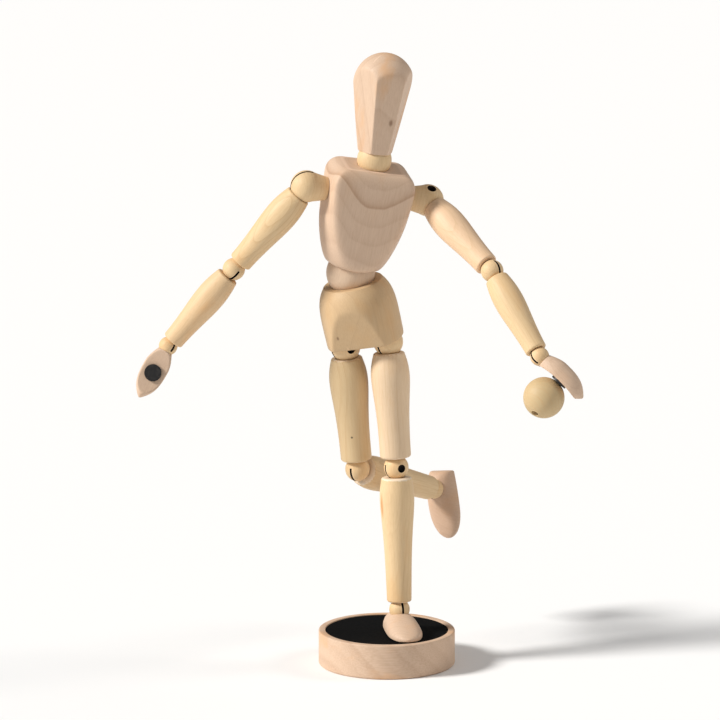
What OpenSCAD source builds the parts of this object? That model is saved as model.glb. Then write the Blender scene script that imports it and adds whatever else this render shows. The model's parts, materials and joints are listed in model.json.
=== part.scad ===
// Jointed wooden artist's figure, about 30 cm tall, standing on one magnetic foot.
// Every joint is a slotted ball with a cross pin, pulled into its cup by a spring.
// Frame: millimetres, +Z up, origin at the middle of the base's underside, figure facing -Y.
// Each limb is drawn in its own frame, with its lower joint at the origin and +Z up the limb.

/* [Base] */
// Radius of the wooden base
base_r = 34.4; // [32:0.1:40]
// Height of the wooden base
base_h = 17.5; // [14:0.5:24]
// Radius of the recess for the steel plate
recess_r = 31; // [28:0.1:31.5]
// Thickness of the steel plate
plate_t = 1.5; // [1:0.1:2.5]
// Depth of the plate's top below the rim
plate_drop = 0.5; // [0.2:0.1:1]

/* [Skeleton] */
// Sole to ankle centre
ankle_h = 11.6; // [11:0.1:13]
// Ankle centre to knee centre
shin_l = 72.5; // [68:0.5:80]
// Knee centre to hip centre
thigh_l = 64; // [60:0.5:72]
// Sideways distance of each hip from the middle
hip_x = 11.3; // [11:0.1:12]
// Hips to waist centre
waist_z = 38.5; // [37:0.5:42]
// Waist centre to neck centre
neck_z = 60.5; // [59:0.5:64]
// Sideways distance of each shoulder centre from the middle
shoulder_x = 31.5; // [31.2:0.1:33]
// Waist centre to shoulder line
shoulder_z = 42.5; // [40:0.5:46]
// Elbow centre to shoulder centre
upper_arm_l = 56; // [52:0.5:62]
// Wrist centre to elbow centre
forearm_l = 51.5; // [48:0.5:58]

/* [Balls] */
// Radius of the hip balls
hip_r = 7.5; // [7.2:0.1:7.8]
// Radius of the knee balls
knee_r = 6.2; // [5.8:0.1:6.4]
// Radius of the ankle balls
ankle_r = 5.2; // [5:0.1:5.4]
// Radius of the waist ball
waist_r = 12.2; // [11.8:0.1:12.6]
// Radius of the neck ball
neck_r = 8.6; // [8.2:0.1:8.8]
// Radius of the shoulder balls
shoulder_r = 8; // [7.6:0.1:8.2]
// Radius of the elbow balls
elbow_r = 5.6; // [5.3:0.1:5.8]
// Radius of the wrist balls
wrist_r = 4.7; // [4.5:0.1:4.9]
// Gap between a ball and the cup that it turns in
cup_gap = 0.25; // [0.2:0.05:0.4]

/* [Standing place and leg pose, in degrees] */
// Place of the standing foot on the plate, across
foot_x = 6.4; // [0:0.1:10]
// Place of the standing foot on the plate, front to back
foot_y = -3; // [-12:0.1:0]
// Turn of the standing foot on the plate
foot_turn = 14; // [-180:0.5:180]
// Left ankle: bend, then turn of the ball in the foot
left_ankle = [3.7, -6.8]; // [-30:0.1:30]
// Left knee: bend, then twist of the shin
left_knee = [-2.7, 84.2]; // [-60:0.1:90]
// Left hip: turn of the ball, swing, then twist of the thigh
left_hip = [-29.3, -11.9, -18.4]; // [-90:0.1:90]
// Right hip: turn of the ball, swing, then twist of the thigh
right_hip = [-50.8, -7.3, 32.4]; // [-90:0.1:90]
// Right knee: bend, then twist of the shin
right_knee = [65.5, 2.7]; // [-60:0.1:90]
// Right ankle: bend, then turn of the ball in the foot
right_ankle = [12.8, 2.9]; // [-30:0.1:30]

/* [Body and arm pose, in degrees] */
// Waist: twist of the spring, tilt, then twist of the chest on the ball
waist = [99.3, 23.4, -72]; // [-120:0.1:120]
// Neck: twist of the spring, tilt, then twist of the head on the ball
neck = [19.4, -7.9, -19]; // [-120:0.1:120]
// Left shoulder: spin of the ball, raise to the side, then twist of the arm
left_shoulder = [-70.4, 27.2, 7.9]; // [-180:0.1:180]
// Left elbow: bend, then twist of the forearm
left_elbow = [-15.5, 84.9]; // [-90:0.1:90]
// Left wrist: bend, then turn of the ball in the hand
left_wrist = [-22.7, 131.2]; // [-180:0.1:180]
// Right shoulder: spin of the ball, raise to the side, then twist of the arm
right_shoulder = [4.4, 28.9, 5.6]; // [-180:0.1:180]
// Right elbow: bend, then twist of the forearm
right_elbow = [1.4, 6.4]; // [-90:0.1:90]
// Right wrist: bend, then turn of the ball in the hand
right_wrist = [-18.3, -36.2]; // [-180:0.1:180]

/* [Toy ball] */
// Radius of the toy ball
toy_r = 10.15; // [8:0.05:11]

/* [Hidden] */
$fn = 40;
tiny = 0.05;

// Slots, pins and nails
slot_w = 1.2;
pin_r = 0.7;
pin_gap = 0.03;
nail_r = 0.6;
nail_start = 1.2;
nail_bite = 0.15;
pin_share = 0.55;
long = 20;
groove_depth = 0.8;
groove_w = 1.7;

// Wire hooks and springs
wire_r = 0.45;
eye_r = 1.25;
slot_top = 1.9;
coil_r = 2.2;
coil_wire = 0.6;
coil_pitch = 1.1;
closing_r = 1.35;
closing_step = 0.8;
head_r = 1.3;
head_t = 0.8;

// Bores of the limbs and their pegs
bore_r = 3.2;
peg_r = 2.4;
thick_peg_r = 3;
peg_gap = 0.08;
turn_gap = 0.12;
arm_bore_r = 3;
arm_peg_r = 2.1;
wrist_peg_r = 1.6;

// Drilled holes that the pins go in by, and the lengths of the pegs
hip_hole_r = 2.1;
knee_hole_r = 2.05;
ankle_hole_r = 1.7;
waist_hole_r = 2.1;
neck_hole_r = 2.1;
shoulder_hole_r = 2.3;
elbow_hole_r = 1.8;
wrist_hole_r = 1.6;
hip_peg_l = 15;
waist_peg_l = 24;
waist_groove_z = 20;
neck_peg_l = 18;
neck_groove_z = 14;
wrist_peg_l = 8;
peg_end_gap = 0.3;
neck_swing = 44;

// Turned outlines: lower radius, upper radius, swell, skew of the swell, rounded edge
shin_shape = [6.2, 7.7, 1.25, 3.5, 1.1];
thigh_shape = [7.8, 8, 1.8, 2.8, 1.2];
upper_arm_shape = [5.9, 6.5, 1.7, 1.94, 0.9];
forearm_shape = [5.4, 5.9, 1.6, 1.8, 0.9];

// Springs: where they start and how many turns they have
shin_spring_start = 14;
shin_spring_turns = 20;
arm_spring_start = 11;
arm_spring_turns = 15;
thigh_spring_start = 18;
upper_arm_spring_start = 15;
pelvis_spring_start = 13;
neck_spring_start = 9;

// Rounded edges of the base
foot_edge_r = 1.2;
rim_edge_r = 0.6;

// Distance from a joint's centre to the flat end of the piece beside it
hip_end = 5.4;
knee_end = 5.1;
ankle_end = 4;
shoulder_end = 6;
elbow_end = 4.6;
wrist_end = 3.5;
waist_end = 5;
head_end = 4;
head_edge = 0.8;

// Nails that anchor the springs, measured from the lower joint of each limb
thigh_nail_z = 17.1;
thigh_nail_l = 9;
thigh_bore_floor = 15;
arm_nail_z = 15.1;
arm_nail_l = 7.4;
arm_bore_floor = 13;
gap_turn = 1.35;

// Chest, measured from the waist centre
chest_top = 57;
chest_low_r = 13.2;
chest_top_r = 24;
chest_round = 4;
chest_side = 21.2;
chest_front = 15.3;
chest_front_z = 11;
chest_back = 14;
chest_lean = 2.9;
shoulder_stub = 10.1;
shoulder_stub_r = 5.8;
shoulder_peg_l = 20;
shoulder_spring_turns = 15;
shoulder_wire = 16;
chest_nail_z = 48.2;

// Pelvis, measured from the line of the hips
pelvis_low = 2.2;
pelvis_r = 19.8;
pelvis_rim_r = 14.6;
pelvis_lean = 14.5;
pelvis_front = 13.5;
pelvis_nail_z = 10;
pelvis_nail_head = 15.2;
pelvis_nail_start = 3;
pelvis_spring_nail_z = 14.4;

// Head, measured from the neck centre
head_h = 54;
head_wide_z = 38;
head_low_r = 8.9;
head_wide_r = 15.2;
head_facet = 8;
head_side_facet = 7.6;
head_side_turn = 62;
head_taper = 7.2;
head_nail_head = 9.9;

// Foot, measured from the middle of the sole under the ankle
foot_heel = 8.6;
foot_heel_half = 6.5;
foot_ball = 12;
foot_ball_half = 8.6;
foot_toe = 26.4;
foot_bow = 1.3;
sole_gap = 0.2;
foot_dome_r = 9.6;
foot_dome_z = 1.2;
foot_peg_floor = 3.4;
magnet_r = 4.3;
magnet_t = 2;
magnet_y = -6;
magnet_gap = 0.05;

// Side view of the foot, with the heel on the right
foot_side = [
    [foot_heel, sole_gap], [foot_heel, 7.2], [foot_heel - 1.6, 9.4], [5.4, 10.6], [-5.6, 10.6],
    [-9, 9], [-14, 7.4], [-20, 5.6], [-foot_toe + 2.5, 4], [-foot_toe, 2.4],
    [-foot_toe, sole_gap + 0.9], [-foot_toe + 3, sole_gap]
];

// Hand, measured from the wrist centre
hand_l = 29.5;
hand_r = 6.5;
hand_low_r = 3.9;
hand_start = 3.2;
palm_y = 1.6;
palm_curve = 45;
hand_magnet_z = 15.5;
hand_magnet_t = 3.2;
hand_magnet_out = 1.3;
core_r = 1.9;
toy_hole = [105, 0, 30];

// Colours of the wood and the metal
lime = [0.91, 0.81, 0.66];
maple = [0.86, 0.76, 0.66];
steel = [0.62, 0.62, 0.64];
black = [0.05, 0.05, 0.05];

// ---- Frames: rigid moves as 4 x 4 matrices ----
function move(x, y, z) = [[1, 0, 0, x], [0, 1, 0, y], [0, 0, 1, z], [0, 0, 0, 1]];
function turn_x(a) = [[1, 0, 0, 0], [0, cos(a), -sin(a), 0], [0, sin(a), cos(a), 0], [0, 0, 0, 1]];
function turn_y(a) = [[cos(a), 0, sin(a), 0], [0, 1, 0, 0], [-sin(a), 0, cos(a), 0], [0, 0, 0, 1]];
function turn_z(a) = [[cos(a), -sin(a), 0, 0], [sin(a), cos(a), 0, 0], [0, 0, 1, 0], [0, 0, 0, 1]];

plate_top = base_h - plate_drop;

// The standing leg is followed upwards from the plate
left_foot_at = move(foot_x, foot_y, plate_top) * turn_z(foot_turn);
left_ankle_at = left_foot_at * move(0, 0, ankle_h) * turn_z(-left_ankle[1]);
left_shin_at = left_ankle_at * turn_x(-left_ankle[0]);
left_knee_hook_at = left_shin_at * move(0, 0, shin_l) * turn_z(-left_knee[1]);
left_thigh_at = left_knee_hook_at * turn_x(-left_knee[0]);
left_thigh_spring_at = left_thigh_at * move(0, 0, thigh_l) * turn_z(-left_hip[2]);
left_hip_at = left_thigh_spring_at * turn_x(-left_hip[1]);
pelvis_at = left_hip_at * turn_z(-left_hip[0]) * move(-hip_x, 0, 0);

// The free leg hangs from the pelvis
right_hip_at = pelvis_at * move(-hip_x, 0, 0) * turn_z(right_hip[0]);
right_thigh_spring_at = right_hip_at * turn_x(right_hip[1]);
right_thigh_at = right_thigh_spring_at * turn_z(right_hip[2]) * move(0, 0, -thigh_l);
right_knee_hook_at = right_thigh_at * turn_x(right_knee[0]);
right_shin_at = right_knee_hook_at * turn_z(right_knee[1]) * move(0, 0, -shin_l);
right_ankle_at = right_shin_at * turn_x(right_ankle[0]);
right_foot_at = right_ankle_at * turn_z(right_ankle[1]) * move(0, 0, -ankle_h);

// The body stands on the pelvis
pelvis_spring_at = pelvis_at * move(0, 0, waist_z) * turn_z(waist[0]);
waist_at = pelvis_spring_at * turn_x(waist[1]);
chest_at = waist_at * turn_z(waist[2]);
neck_spring_at = chest_at * move(0, 0, neck_z) * turn_z(neck[0]);
neck_at = neck_spring_at * turn_x(neck[1]);
head_at = neck_at * turn_z(neck[2]);

// The arms hang from the chest, each frame following the one before it
left_shoulder_at = chest_at * move(shoulder_x, 0, shoulder_z) * turn_x(left_shoulder[0]);
left_arm_spring_at = left_shoulder_at * turn_y(-left_shoulder[1]);
left_upper_arm_at = left_arm_spring_at * turn_z(left_shoulder[2]) * move(0, 0, -upper_arm_l);
left_elbow_hook_at = left_upper_arm_at * turn_x(-left_elbow[0]);
left_forearm_at = left_elbow_hook_at * turn_z(left_elbow[1]) * move(0, 0, -forearm_l);
left_wrist_at = left_forearm_at * turn_x(left_wrist[0]);
left_hand_at = left_wrist_at * turn_z(left_wrist[1]);
right_shoulder_at = chest_at * move(-shoulder_x, 0, shoulder_z) * turn_x(right_shoulder[0]);
right_arm_spring_at = right_shoulder_at * turn_y(right_shoulder[1]);
right_upper_arm_at = right_arm_spring_at * turn_z(right_shoulder[2]) * move(0, 0, -upper_arm_l);
right_elbow_hook_at = right_upper_arm_at * turn_x(-right_elbow[0]);
right_forearm_at = right_elbow_hook_at * turn_z(right_elbow[1]) * move(0, 0, -forearm_l);
right_wrist_at = right_forearm_at * turn_x(right_wrist[0]);
right_hand_at = right_wrist_at * turn_z(right_wrist[1]);

// ---- Small shared shapes ----
// Slotted ball about the origin: peg up, pin along X, slot open downwards, flared root if asked.
// A swing under 90 degrees narrows the slot to a wedge.
module knuckle(r, peg, peg_l, hole_r, root_r = 0, root_l = 0, swing = 90) {
    pin_half = pin_share * r;
    difference() {
        union() {
            sphere(r);
            cylinder(r = peg, h = peg_l);
            if (root_l > 0) cylinder(r1 = r - tiny, r2 = root_r, h = root_l);
        }
        slot(r + 1, swing);
        rotate([0, 90, 0]) translate([0, 0, -pin_half - 0.1]) cylinder(r = pin_r + pin_gap, h = r + pin_half);
        rotate([0, 90, 0]) translate([0, 0, pin_half]) cylinder(r = hole_r, h = r);
    }
    rotate([0, 90, 0]) translate([0, 0, -pin_half]) cylinder(r = pin_r, h = 2 * pin_half);
}

// Saw slot about the pin, or a narrower wedge-shaped one that lets the wire swing by an angle
module slot(reach, swing) {
    if (swing < 90) {
        half = reach * tan(swing);
        rotate([0, 90, 0]) cylinder(r = slot_top, h = slot_w, center = true);
        rotate([90, 0, 90]) translate([0, 0, -slot_w / 2]) linear_extrude(slot_w)
            polygon([[-slot_top, 0], [-half, -reach], [half, -reach], [slot_top, 0]]);
    } else {
        translate([-slot_w / 2, -reach, -reach]) cube([slot_w, 2 * reach, reach + slot_top]);
    }
}

// Ring cut around a peg, where a nail keeps it from pulling out
module peg_groove(z, peg) {
    difference() {
        translate([0, 0, z - groove_w / 2]) cylinder(r = peg + 1, h = groove_w);
        translate([0, 0, z - groove_w / 2 - 1]) cylinder(r = peg - groove_depth, h = groove_w + 2);
    }
}

// Wire eye around a pin along X, and the straight wire below it
module hook(reach) {
    rotate([0, 90, 0]) rotate_extrude() translate([eye_r, 0]) circle(wire_r);
    translate([0, 0, -reach]) cylinder(r = wire_r, h = reach - eye_r);
}

// Close-wound turns, one ring for each, downwards from z
module coil(z, turns) {
    rotate_extrude() for (i = [0 : turns - 1]) translate([coil_r, z - i * coil_pitch]) circle(coil_wire);
}

// Short wire from the coil's axis out to its turns
module coil_start(z) {
    translate([0, 0, z]) rotate([-90, 0, 0]) cylinder(r = wire_r, h = coil_r);
}

// Spring hung on a pin, whose last turn is held below an anchor nail at z = -nail_depth
module anchored_spring(reach, nail_depth, around = 0) {
    turns = floor((nail_depth - gap_turn - reach) / coil_pitch) + 1;
    start = nail_depth - gap_turn - (turns - 1) * coil_pitch;
    color(steel) union() {
        hook(start);
        coil(-start, turns);
        coil(-nail_depth - gap_turn, 1);
        rotate([0, 0, around]) {
            coil_start(-start);
            translate([0, coil_r, -nail_depth - gap_turn]) cylinder(r = wire_r, h = 2 * gap_turn);
        }
    }
}

// Spring hooked on the lower pin, with a narrow last turn that holds a hook's head
module limb_spring(start, turns) {
    top = start + (turns - 1) * coil_pitch;
    color(steel) union() {
        rotate([180, 0, 0]) hook(start);
        coil_start(start);
        coil(top, turns);
        rotate_extrude() translate([closing_r, top + closing_step]) circle(coil_wire);
    }
}

// Hook on the upper pin, with a flat head inside the spring's narrow last turn
module headed_hook(reach) {
    color(steel) union() {
        hook(reach);
        translate([0, 0, -reach]) cylinder(r = head_r, h = head_t);
    }
}

function spring_top(start, turns) = start + (turns - 1) * coil_pitch + closing_step;
function hook_reach(limb, start, turns) = limb - spring_top(start, turns) + coil_wire + 0.2 + head_t;

// Turned outline of a limb from z = low to high, swelling towards its upper end
function limb_radius(t, shape) =
    shape[0] + (shape[1] - shape[0]) * t + shape[2] * sin(180 * pow(t, shape[3]));
function limb_outline(low, high, shape, steps = 10) =
    let (low_r = shape[0], high_r = shape[1], edge = shape[4])
    concat(
    [[0, low], [low_r - edge, low], [low_r - 0.3 * edge, low + 0.3 * edge]],
    [for (i = [0 : steps])
        let (t = i / steps)
        [limb_radius(t, shape), low + edge + t * (high - low - 2 * edge)]],
    [[high_r - 0.3 * edge, high - 0.3 * edge], [high_r - edge, high], [0, high]]
);

// ---- Base ----
module base_block() {
    color(maple) difference() {
        rotate_extrude() polygon([
            [0, 0], [base_r - foot_edge_r, 0], [base_r - 0.25 * foot_edge_r, 0.35 * foot_edge_r],
            [base_r, 1.1 * foot_edge_r], [base_r, base_h - rim_edge_r], [base_r - rim_edge_r, base_h],
            [0, base_h]
        ]);
        translate([0, 0, plate_top - plate_t]) cylinder(r = recess_r, h = base_h);
    }
}

module base_plate() {
    color(black) translate([0, 0, plate_top - plate_t]) cylinder(r = recess_r - 0.1, h = plate_t);
}

// ---- Leg ----
module foot_magnet() {
    color(black) translate([0, magnet_y, tiny]) cylinder(r = magnet_r, h = magnet_t);
}

// Half the foot's width at a distance ahead of the ankle
function foot_half(ahead) = ahead < foot_ball
    ? foot_heel_half
        + (foot_ball_half - foot_heel_half) * sin(90 * (ahead + foot_heel) / (foot_ball + foot_heel))
    : foot_ball_half * sqrt(1 - pow((ahead - foot_ball) / (foot_toe - foot_ball), 2));

// Point of the foot's outline; inner is 1 for a right foot and -1 for a left one
function foot_edge(ahead, side, inner) =
    [side * foot_half(ahead) + inner * foot_bow * pow(max(0, ahead) / foot_toe, 2), -ahead];

// Shoe-shaped foot: flat sole, square heel, broad round toe, instep falling away in front
module foot(inner) {
    length = foot_heel + foot_toe;
    ahead = [for (i = [0 : 16]) -foot_heel + length * sin(90 * i / 16)];
    color(lime) difference() {
        intersection() {
            linear_extrude(long) polygon(concat(
                [for (a = ahead) foot_edge(a, 1, inner)],
                [for (i = [15 : -1 : 0]) foot_edge(ahead[i], -1, inner)]
            ));
            rotate([90, 0, 90]) translate([0, 0, -long]) linear_extrude(2 * long) polygon(foot_side);
            rotate([90, 0, 0]) translate([0, foot_dome_z, -long]) cylinder(r = foot_dome_r, h = 3 * long);
        }
        translate([0, 0, ankle_h]) sphere(ankle_r + tiny);
        translate([0, 0, foot_peg_floor]) cylinder(r = arm_peg_r + peg_gap, h = ankle_h);
        translate([0, magnet_y, -1])
            cylinder(r = magnet_r + magnet_gap, h = magnet_t + 1 + 3 * magnet_gap);
    }
}

// The ankle ball's peg points down into the foot and its slot opens to the shin
module ankle_ball() {
    color(lime) rotate([180, 0, 0]) knuckle(ankle_r, arm_peg_r, ankle_h - foot_peg_floor - 0.2, ankle_hole_r);
}

module shin() {
    color(lime) difference() {
        rotate_extrude() polygon(
            limb_outline(ankle_end, shin_l - knee_end, shin_shape)
        );
        sphere(ankle_r + cup_gap);
        translate([0, 0, shin_l]) sphere(knee_r + cup_gap);
        cylinder(r = bore_r, h = shin_l);
    }
}

module shin_spring() {
    limb_spring(shin_spring_start, shin_spring_turns);
}

module knee_hook() {
    headed_hook(hook_reach(shin_l, shin_spring_start, shin_spring_turns));
}

module knee_ball() {
    color(lime) knuckle(knee_r, peg_r, thigh_bore_floor - 1, knee_hole_r);
}

module thigh() {
    color(lime) difference() {
        rotate_extrude() polygon(
            limb_outline(knee_end, thigh_l - hip_end, thigh_shape)
        );
        sphere(knee_r + tiny);
        translate([0, 0, thigh_l]) sphere(hip_r + cup_gap);
        cylinder(r = peg_r + peg_gap, h = thigh_l);
        translate([0, 0, thigh_bore_floor]) cylinder(r = bore_r, h = thigh_l);
        translate([0, nail_start, thigh_nail_z]) rotate([90, 0, 0]) cylinder(r = nail_r + pin_gap, h = long);
    }
}

// Anchor nail of the thigh's spring, driven in from the front
module thigh_pins() {
    color(steel) translate([0, nail_start, thigh_nail_z]) rotate([90, 0, 0])
        cylinder(r = nail_r, h = thigh_nail_l);
}

module thigh_spring() {
    anchored_spring(thigh_spring_start, thigh_l - thigh_nail_z);
}

module hip_ball() {
    color(lime) difference() {
        knuckle(hip_r, peg_r, hip_peg_l, hip_hole_r);
        peg_groove(pelvis_nail_z, peg_r);
    }
}

// ---- Pelvis and waist ----
function pelvis_radius(t) = pelvis_r - 0.3 * pow(1 - t, 2) - 4.2 * pow(t, 5);

// Turned block, narrower at its rim, with sloping flats in front and behind
module pelvis() {
    high = waist_z - waist_end;
    color(lime) difference() {
        rotate_extrude() polygon(concat(
            [[0, pelvis_low], [pelvis_r - 0.8, pelvis_low], [pelvis_r - 0.4, pelvis_low + 0.6]],
            [for (i = [0 : 10])
                let (t = i / 10)
                [pelvis_radius(t), pelvis_low + 2 + t * (high - pelvis_low - 3)]],
            [[pelvis_rim_r, high], [0, high]]
        ));
        for (back = [0, 180])
            rotate([0, 0, back]) translate([-1.5 * long, -pelvis_front, pelvis_low])
                rotate([pelvis_lean, 0, 0]) translate([0, -long, -long]) cube([3 * long, long, 4 * long]);
        translate([0, 0, waist_z]) sphere(waist_r + cup_gap);
        translate([0, 0, pelvis_spring_nail_z - gap_turn - 1]) cylinder(r = bore_r, h = waist_z);
        for (side = [-1, 1]) {
            translate([side * hip_x, 0, 0]) sphere(hip_r + cup_gap);
            translate([side * hip_x, 0, 1]) cylinder(r = peg_r + turn_gap, h = hip_peg_l - 1 + peg_end_gap);
        }
        pelvis_nail_places(pin_gap);
    }
}

// One nail beside each hip peg, in its groove, and one across the waist spring's bore
module pelvis_nail_places(gap) {
    side_x = hip_x - peg_r + nail_bite;
    translate([-side_x, pelvis_nail_start, pelvis_nail_z]) rotate([90, 0, 0])
        cylinder(r = nail_r + gap, h = long);
    translate([side_x, -pelvis_nail_start, pelvis_nail_z]) rotate([-90, 0, 0])
        cylinder(r = nail_r + gap, h = long);
    translate([0, -nail_start, pelvis_spring_nail_z]) rotate([-90, 0, 0])
        cylinder(r = nail_r + gap, h = long);
}

module pelvis_nails() {
    color(steel) intersection() {
        pelvis_nail_places(0);
        translate([-pelvis_r, -pelvis_nail_head, 0]) cube([2 * pelvis_r, 2 * pelvis_nail_head, waist_z]);
    }
}

module pelvis_spring() {
    anchored_spring(pelvis_spring_start, waist_z - pelvis_spring_nail_z, 180 - waist[0]);
}

module waist_ball() {
    color(lime) difference() {
        knuckle(waist_r, thick_peg_r, waist_peg_l, waist_hole_r);
        peg_groove(waist_groove_z, thick_peg_r);
    }
}

// ---- Chest ----
function chest_radius(t) = chest_low_r + (chest_top_r - chest_low_r) * pow(sin(90 * t), 0.62);

// Turned, bowl-shaped block with flats in front, behind and at the shoulders
module chest() {
    rise = chest_top - chest_round - waist_end;
    color(maple) difference() {
        rotate_extrude() polygon(concat(
            [[0, waist_end]],
            [for (i = [0 : 14]) let (t = i / 14) [chest_radius(t), waist_end + t * rise]],
            [for (a = [30 : 30 : 90])
                [chest_top_r + chest_round * (cos(a) - 1), chest_top + chest_round * (sin(a) - 1)]],
            [[0, chest_top]]
        ));
        translate([-1.5 * long, -chest_front, chest_front_z]) rotate([-chest_lean, 0, 0])
            translate([0, -long, -long]) cube([3 * long, long, 4 * long]);
        translate([-1.5 * long, chest_back, 0]) cube([3 * long, long, 4 * long]);
        for (side = [-1, 1])
            translate([side * (chest_side + long / 2), 0, 2 * long])
                cube([long, 3 * long, 5 * long], center = true);
        sphere(waist_r + cup_gap);
        translate([0, 0, neck_z]) sphere(neck_r + cup_gap);
        cylinder(r = thick_peg_r + turn_gap, h = waist_peg_l + peg_end_gap);
        translate([0, 0, chest_nail_z - gap_turn - 1]) cylinder(r = bore_r, h = neck_z);
        translate([-1.5 * long, 0, shoulder_z]) rotate([0, 90, 0]) cylinder(r = bore_r, h = 3 * long);
        chest_nail_places(pin_gap);
    }
}

// One nail in the waist peg's groove, one across the neck spring's bore, both from behind
module chest_nail_places(gap) {
    translate([thick_peg_r - nail_bite, -3, waist_groove_z]) rotate([-90, 0, 0])
        cylinder(r = nail_r + gap, h = long);
    translate([0, -nail_start, chest_nail_z]) rotate([-90, 0, 0]) cylinder(r = nail_r + gap, h = long);
}

module chest_nails() {
    color(steel) intersection() {
        chest_nail_places(0);
        translate([-long / 2, -long, 0]) cube([long, long + chest_back, 3 * long]);
    }
}

module neck_spring() {
    anchored_spring(neck_spring_start, neck_z - chest_nail_z, 180 - neck[0]);
}

module neck_ball() {
    color(lime) difference() {
        knuckle(neck_r, peg_r, neck_peg_l, neck_hole_r, swing = neck_swing);
        peg_groove(neck_groove_z, peg_r);
    }
}

// Spring across the chest, with a straight end turning in each shoulder's peg
module shoulder_spring() {
    half = (shoulder_spring_turns - 1) * coil_pitch / 2;
    color(steel) translate([0, 0, shoulder_z]) rotate([0, 90, 0]) union() {
        coil(half, shoulder_spring_turns);
        for (z = [-half, half]) coil_start(z);
        for (end = [0, 180]) rotate([end, 0, 0])
            translate([0, 0, half]) cylinder(r = wire_r, h = shoulder_wire - half);
    }
}

// ---- Head ----
function head_radius(t) = head_low_r + (head_wide_r - head_low_r) * pow(t, 0.92);

// Turned bulb with a rounded crown and three planed faces in front
module head() {
    dome = head_h - head_wide_z;
    color(maple) difference() {
        rotate_extrude() polygon(concat(
            [[0, head_end], [head_low_r - head_edge, head_end]],
            [for (i = [0 : 8])
                let (t = i / 8)
                [head_radius(t), head_end + head_edge + t * (head_wide_z - head_end - head_edge)]],
            [for (a = [9 : 9 : 81]) [head_wide_r * cos(a), head_wide_z + dome * sin(a)]],
            [[0, head_h]]
        ));
        head_flat(0, head_facet);
        head_flat(head_side_turn, head_side_facet);
        head_flat(-head_side_turn, head_side_facet);
        sphere(neck_r + cup_gap);
        cylinder(r = peg_r + turn_gap, h = neck_peg_l + peg_end_gap);
        head_nail_place(pin_gap);
    }
}

// Planed face whose foot lies at the given distance from the head's axis
module head_flat(around, distance) {
    rotate([0, 0, around]) translate([-long, -distance, head_end])
        rotate([head_taper, 0, 0]) translate([0, -long, -long]) cube([2 * long, long, 4 * long]);
}

module head_nail_place(gap) {
    translate([peg_r - nail_bite, -2, neck_groove_z]) rotate([-90, 0, 0])
        cylinder(r = nail_r + gap, h = long);
}

module head_nail() {
    color(steel) intersection() {
        head_nail_place(0);
        translate([-long / 2, -long, 0]) cube([long, long + head_nail_head, 2 * long]);
    }
}

// ---- Arm ----
// The shoulder ball runs out into a round stub against the chest; the peg points inwards
module shoulder_ball(side) {
    wire_end = shoulder_x - shoulder_wire - peg_end_gap;
    color(lime) rotate([0, -90 * side, 0]) rotate([0, 0, -90 * side]) difference() {
        knuckle(shoulder_r, peg_r, shoulder_peg_l, shoulder_hole_r, shoulder_stub_r, shoulder_stub);
        translate([0, 0, wire_end]) cylinder(r = wire_r + tiny, h = shoulder_peg_l);
    }
}

module upper_arm() {
    color(lime) difference() {
        rotate_extrude() polygon(
            limb_outline(elbow_end, upper_arm_l - shoulder_end, upper_arm_shape)
        );
        sphere(elbow_r + tiny);
        translate([0, 0, upper_arm_l]) sphere(shoulder_r + cup_gap);
        cylinder(r = arm_peg_r + peg_gap, h = upper_arm_l);
        translate([0, 0, arm_bore_floor]) cylinder(r = arm_bore_r, h = upper_arm_l);
        translate([0, nail_start, arm_nail_z]) rotate([90, 0, 0]) cylinder(r = nail_r + pin_gap, h = long);
    }
}

module upper_arm_pins() {
    color(steel) translate([0, nail_start, arm_nail_z]) rotate([90, 0, 0])
        cylinder(r = nail_r, h = arm_nail_l);
}

module upper_arm_spring() {
    rotate([0, 0, 90]) anchored_spring(upper_arm_spring_start, upper_arm_l - arm_nail_z, -90);
}

module elbow_ball() {
    color(lime) knuckle(elbow_r, arm_peg_r, arm_bore_floor - 1, elbow_hole_r);
}

module elbow_hook() {
    headed_hook(hook_reach(forearm_l, arm_spring_start, arm_spring_turns));
}

module forearm() {
    color(lime) difference() {
        rotate_extrude() polygon(
            limb_outline(wrist_end, forearm_l - elbow_end, forearm_shape)
        );
        sphere(wrist_r + cup_gap);
        translate([0, 0, forearm_l]) sphere(elbow_r + cup_gap);
        cylinder(r = arm_bore_r, h = forearm_l);
    }
}

module forearm_spring() {
    limb_spring(arm_spring_start, arm_spring_turns);
}

module wrist_ball() {
    color(lime) rotate([180, 0, 0]) knuckle(wrist_r, wrist_peg_r, wrist_peg_l, wrist_hole_r);
}

// The hand widens quickly below the wrist and tapers slowly to the fingertips
function hand_radius(t) = hand_low_r + (hand_r - hand_low_r) * sin(90 * min(1, t / 0.35))
    - 0.86 * hand_r * pow(max(0, t - 0.3) / 0.7, 3.5);

// Turned, leaf-shaped hand with a hollowed palm facing -Y
module hand() {
    color(lime) difference() {
        rotate_extrude() polygon(concat(
            [[0, 0.6 - hand_start], [hand_low_r - 0.6, 0.6 - hand_start], [hand_low_r, -hand_start]],
            [for (i = [1 : 12])
                let (t = i / 12)
                [hand_radius(t), -hand_start - t * (hand_l - hand_start - 0.5)]],
            [[0, -hand_l]]
        ));
        translate([-long / 2, -palm_y - palm_curve, -hand_magnet_z]) rotate([0, 90, 0])
            cylinder(r = palm_curve, h = long, $fn = 120);
        sphere(wrist_r + tiny);
        translate([0, 0, -wrist_peg_l - 0.2]) cylinder(r = wrist_peg_r + peg_gap, h = wrist_peg_l);
        hand_magnet_place(magnet_gap);
    }
}

module hand_magnet_place(gap) {
    translate([0, -palm_y - hand_magnet_out + hand_magnet_t + gap, -hand_magnet_z])
        rotate([90, 0, 0]) cylinder(r = magnet_r + gap, h = hand_magnet_t + 2 * gap);
}

module hand_magnet() {
    color(black) hand_magnet_place(0);
}

// ---- Toy ball, held under the left palm ----
toy_y = -palm_y - hand_magnet_out - toy_r - tiny;

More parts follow.
